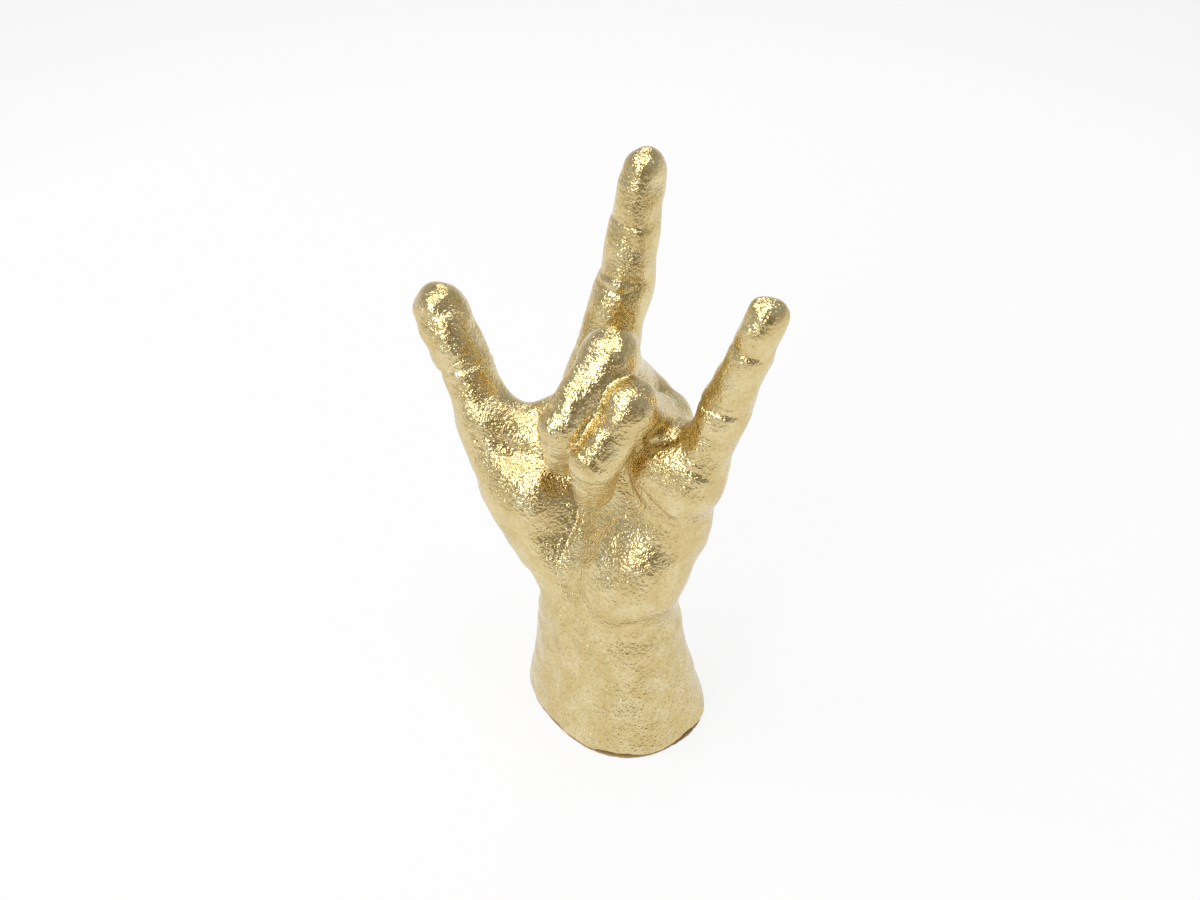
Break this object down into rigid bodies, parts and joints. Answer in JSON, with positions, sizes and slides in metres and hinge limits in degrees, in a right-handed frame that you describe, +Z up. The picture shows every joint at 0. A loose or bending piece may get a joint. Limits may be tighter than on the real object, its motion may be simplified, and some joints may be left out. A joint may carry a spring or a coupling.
{
  "type": "hand sculpture",
  "caption": "Gilded hand sculpture with the thumb, index and little finger raised and the other fingers folded to the palm, standing on its cut wrist.",
  "frame": {"origin": "middle of the felt pad's underside, where the wrist stands on the table", "axes": "+Z up, the palm faces -Y, the thumb points to -X and the little finger to +X"},
  "size_m": [0.1385, 0.0822, 0.2039],
  "materials": {
    "gilt_resin": "crinkled gold leaf over cast resin",
    "pin_steel": "drawn rod",
    "plaster": "poured plaster",
    "fibreboard": "cut board",
    "felt": "pressed felt"
  },
  "bodies": {
    "root": {"palm_casting": "gilt_resin", "thumb_casting": "gilt_resin", "thumb_pin": "pin_steel", "index_finger_casting": "gilt_resin", "index_pin": "pin_steel", "little_finger_casting": "gilt_resin", "little_pin": "pin_steel", "middle_finger_casting": "gilt_resin", "middle_pin": "pin_steel", "ring_finger_casting": "gilt_resin", "ring_pin": "pin_steel", "base_plate": "fibreboard", "plaster_core": "plaster", "base_felt": "felt"}
  },
  "joints": []
}
